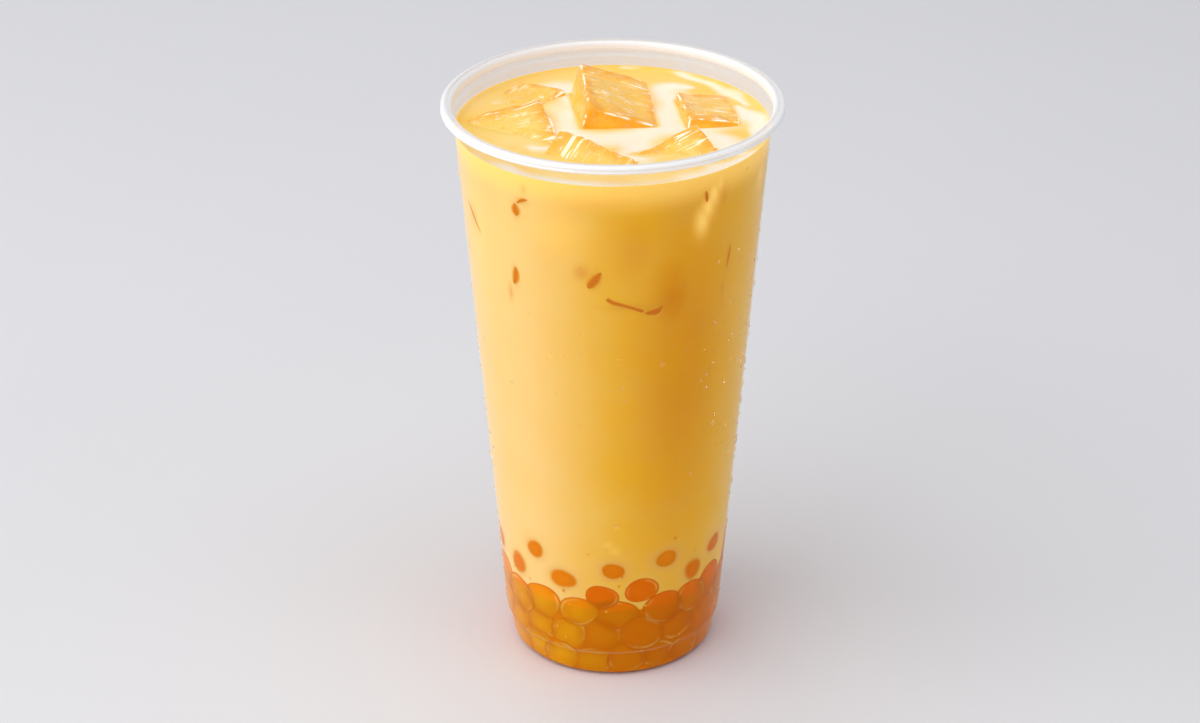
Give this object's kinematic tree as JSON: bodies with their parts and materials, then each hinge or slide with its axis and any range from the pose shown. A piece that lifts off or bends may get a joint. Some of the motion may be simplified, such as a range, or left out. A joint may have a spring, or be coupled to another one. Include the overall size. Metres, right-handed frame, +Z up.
{
  "type": "bubble tea",
  "caption": "Iced milk tea in a tall tapered clear plastic cup, with amber tapioca pearls heaped at the bottom, loose pearls at the wall and ice blocks breaking the surface.",
  "frame": {"origin": "middle of the foot ring, at the height of the surface the cup stands on", "axes": "+Z up along the cup's axis, the pictured side faces -Y, +X to the right as seen from there"},
  "size_m": [0.095, 0.095, 0.17],
  "materials": {
    "clear_plastic": "clear slightly hazy moulded plastic, glossy, milky white where the rim is thick",
    "milk_tea": "opaque yellow-orange milk tea, wet, creamier and paler at the surface",
    "pearl_heap": "amber translucent pearls packed in syrup",
    "pearl": "amber-orange translucent pearl, softly veiled by milk tea",
    "ice": "wet clear ice with rippled glossy faces, tinted amber by the tea under it"
  },
  "bodies": {
    "root": {"cup": "clear_plastic", "milk_tea": "milk_tea", "pearl_heap": "pearl_heap", "pearl_01": "pearl", "pearl_02": "pearl", "pearl_03": "pearl", "pearl_04": "pearl", "pearl_05": "pearl", "pearl_06": "pearl", "pearl_07": "pearl", "pearl_08": "pearl", "pearl_09": "pearl", "pearl_10": "pearl", "pearl_11": "pearl", "pearl_12": "pearl", "pearl_13": "pearl", "pearl_14": "pearl", "ice_back": "ice", "ice_left": "ice", "ice_right": "ice", "ice_front_left": "ice", "ice_front_right": "ice", "ice_rear_left": "ice"}
  },
  "joints": []
}
